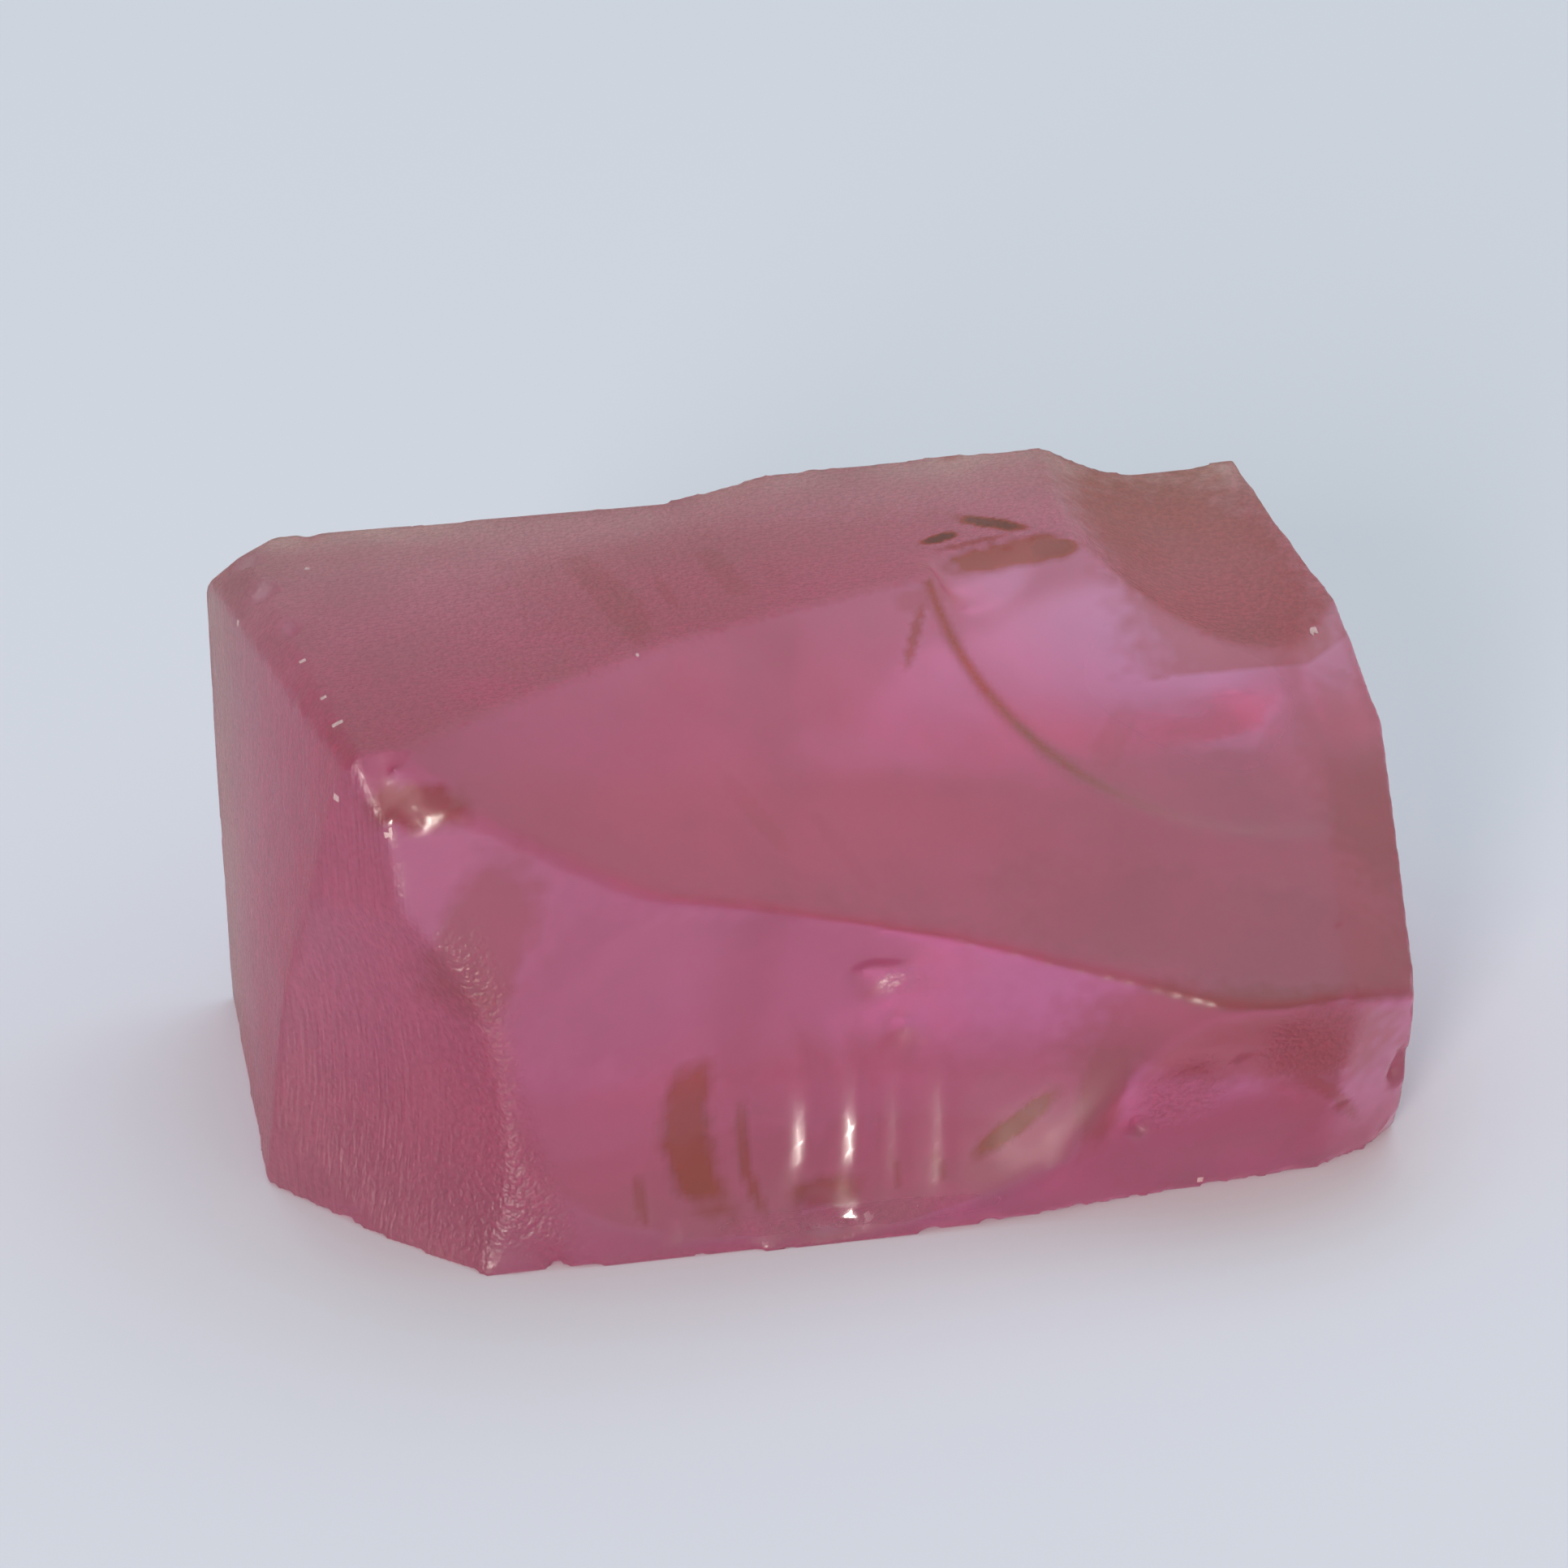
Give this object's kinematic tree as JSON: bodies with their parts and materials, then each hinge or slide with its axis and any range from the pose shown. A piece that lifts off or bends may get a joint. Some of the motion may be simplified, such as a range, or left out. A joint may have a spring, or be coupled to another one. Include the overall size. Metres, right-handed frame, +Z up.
{
  "type": "rough sapphire",
  "caption": "Loose block of see-through pink rough corundum with ground top and end faces, shell-shaped fracture bowls, sharp ridges and chipped edges.",
  "frame": {"origin": "middle of the box round the stone, at the flat face it rests on", "axes": "+X along the stone's length, towards the end with the notch; +Y towards its back; +Z up from the face it rests on"},
  "size_m": [0.0376, 0.025, 0.0166],
  "materials": {
    "sapphire": "gloss"
  },
  "bodies": {
    "root": {"rough_sapphire": "sapphire"}
  },
  "joints": []
}
